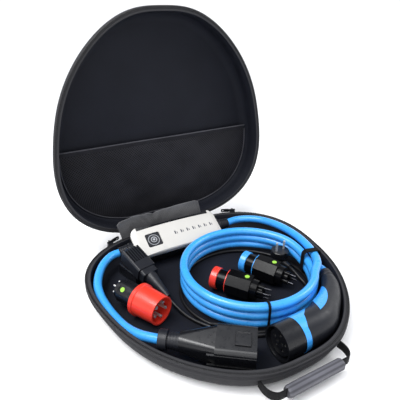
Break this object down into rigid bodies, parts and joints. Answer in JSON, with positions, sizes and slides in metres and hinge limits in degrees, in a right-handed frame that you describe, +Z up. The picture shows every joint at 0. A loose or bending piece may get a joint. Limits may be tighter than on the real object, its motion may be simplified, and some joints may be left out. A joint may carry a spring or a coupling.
{
  "type": "portable ev charger set",
  "caption": "Portable electric car charger with control box, coiled cable, vehicle plug and supply adapters, packed in an open zipped carry case.",
  "frame": {"origin": "middle of the case's underside, on the floor", "axes": "+X along the hinge to the right, +Y from the handle towards the hinge, +Z up"},
  "size_m": [0.496, 0.5642, 0.5164],
  "materials": {
    "case_shell": "matte moulded cloth over foam",
    "zip_tape": "ribbed tape",
    "zip_teeth": "satin",
    "zip_metal": "satin dark paint",
    "mesh": "open net",
    "grey_cloth": "woven",
    "webbing": "woven webbing",
    "grip_sleeve": "matte",
    "white_plastic": "satin gloss",
    "black_plastic": "fine moulded grain",
    "gloss_black": "gloss",
    "lens": "frosted",
    "circuit": "solder resist",
    "ferrite": "matte",
    "steel": "plain",
    "blue_cable": "satin jacket",
    "black_cable": "satin jacket",
    "tie": "hook and loop",
    "blue_plastic": "satin gloss",
    "red_plastic": "satin gloss",
    "green_dot": "gloss",
    "brass": "plated",
    "nickel": "plated"
  },
  "bodies": {
    "case_base": {"base_shell": "case_shell", "base_zip_band": "zip_tape", "base_zip_teeth": "zip_teeth", "hinge_strip": "zip_tape", "hinge_flap": "grey_cloth", "zip_sliders": "zip_metal", "handle_strap": "webbing", "handle_grip": "grip_sleeve", "box_housing": "black_plastic", "box_cover": "white_plastic", "button_panel": "black_plastic", "status_lights": "lens", "circuit_board": "circuit", "power_relays": "gloss_black", "fault_sensor": "ferrite", "box_screws": "steel", "supply_gland": "black_plastic", "lead_gland": "black_plastic", "supply_cable": "blue_cable", "coupler_boot": "black_plastic", "coupler_body": "black_plastic", "coupler_contacts": "brass", "vehicle_lead": "blue_cable", "vehicle_coil": "blue_cable", "vehicle_tail": "blue_cable", "coil_tie_side": "tie", "coil_tie_front": "tie", "plug_gland": "black_plastic", "plug_grip": "black_plastic", "plug_inlay": "blue_plastic", "plug_band": "blue_plastic", "plug_nose": "black_plastic", "plug_contacts": "brass", "five_pin_body": "gloss_black", "five_pin_collar": "red_plastic", "five_pin_contacts": "nickel", "red_adapter_body": "gloss_black", "red_adapter_rings": "red_plastic", "blue_adapter_body": "gloss_black", "blue_adapter_rings": "blue_plastic", "small_adapter_contacts": "nickel", "adapter_dots": "green_dot", "ribbed_adapter": "black_plastic", "spare_adapter": "black_plastic", "adapter_blades": "nickel", "thin_lead": "black_cable", "thin_coil": "black_cable", "thin_tail": "black_cable", "mains_plug": "gloss_black", "mains_plug_pins": "nickel"},
    "case_lid": {"lid_shell": "case_shell", "lid_zip_band": "zip_tape", "lid_zip_teeth": "zip_teeth", "mesh_pocket": "mesh", "pocket_binding": "grey_cloth"},
    "mode_button": {"mode_button": "gloss_black"},
    "release_button": {"release_button": "black_plastic"},
    "zip_pull_left": {"zip_pull_left": "zip_metal"},
    "zip_pull_right": {"zip_pull_right": "zip_metal"}
  },
  "joints": [
    {"name": "lid_hinge", "type": "hinge", "parent": "case_base", "child": "case_lid", "pos_m": [0, 0.235, 0.0435], "axis": [1, 0, 0], "range_deg": [0, 91], "deforming": ["hinge_strip", "hinge_flap"]},
    {"name": "mode_button_press", "type": "slide", "parent": "case_base", "child": "mode_button", "axis": [0, 0.5, -0.866], "range_m": [0, 0.0008], "stiffness_N_per_m": 800},
    {"name": "release_press", "type": "slide", "parent": "case_base", "child": "release_button", "axis": [0.1558, 0.2067, -0.9659], "range_m": [0, 0.0025], "stiffness_N_per_m": 1000},
    {"name": "zip_pull_left_swing", "type": "hinge", "parent": "case_base", "child": "zip_pull_left", "pos_m": [-0.16106, 0.22256, 0.0435], "axis": [0, 0, 1], "range_deg": [0, 150]},
    {"name": "zip_pull_right_swing", "type": "hinge", "parent": "case_base", "child": "zip_pull_right", "pos_m": [0.16106, 0.22256, 0.0435], "axis": [0, 0, 1], "range_deg": [-150, 0]}
  ]
}
